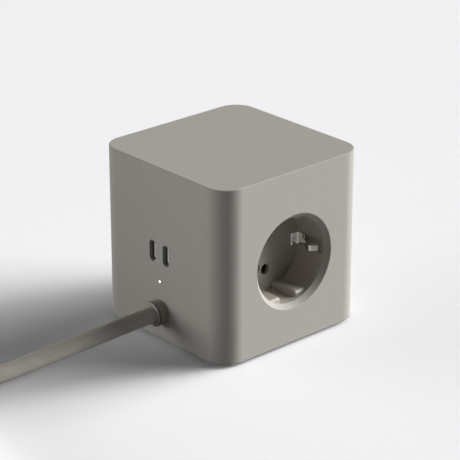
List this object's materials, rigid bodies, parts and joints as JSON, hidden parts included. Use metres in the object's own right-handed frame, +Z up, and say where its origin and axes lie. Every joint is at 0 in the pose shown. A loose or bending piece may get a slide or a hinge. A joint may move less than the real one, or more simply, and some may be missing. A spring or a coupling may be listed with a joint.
{
  "type": "cube power strip with usb",
  "caption": "Cube-shaped extension socket with earthed mains sockets on its sides, USB-C charging ports, an indicator lamp and a textile covered cord with a plug.",
  "frame": {"origin": "on the floor under the middle of the cube", "axes": "+Z up, -Y out of the front socket face, -X out of the face with the ports and the cord"},
  "size_m": [0.346, 0.1004, 0.08],
  "materials": {
    "shell": "fine matt",
    "well": "fine matt",
    "foot": "matt",
    "gland": "satin",
    "textile": "braided",
    "plated": "nickel plated",
    "brass": "bare",
    "board": "solder resist",
    "black": "moulded",
    "clear": "clear",
    "tape": "taped winding",
    "can": "satin",
    "brown": "insulation",
    "blue": "insulation",
    "green": "insulation"
  },
  "bodies": {
    "root": {"base_plate": "shell", "base_screws": "plated", "board_leads": "blue", "board_screws": "plated", "capacitors": "can", "clamp_screws": "plated", "cord": "textile", "cord_clamp": "well", "cord_coil": "textile", "cord_gland": "gland", "earth_bar": "brass", "earth_clip_back": "plated", "earth_clip_front": "plated", "earth_clip_right": "plated", "earth_wire": "green", "foot_pad": "foot", "housing": "shell", "indicator_led": "clear", "light_pipe": "clear", "live_bar": "brass", "live_contact_back": "brass", "live_contact_front": "brass", "live_contact_right": "brass", "live_wire": "brown", "neutral_bar": "brass", "neutral_contact_back": "brass", "neutral_contact_front": "brass", "neutral_contact_right": "brass", "neutral_wire": "blue", "plug_body": "shell", "plug_boot": "gland", "plug_contacts": "plated", "plug_cord": "textile", "plug_pins": "plated", "socket_insert_back": "well", "socket_insert_front": "well", "socket_insert_right": "well", "transformer": "tape", "usb_board": "board", "usb_port_back": "plated", "usb_port_front": "plated", "usb_tongue_back": "black", "usb_tongue_front": "black"}
  },
  "joints": []
}
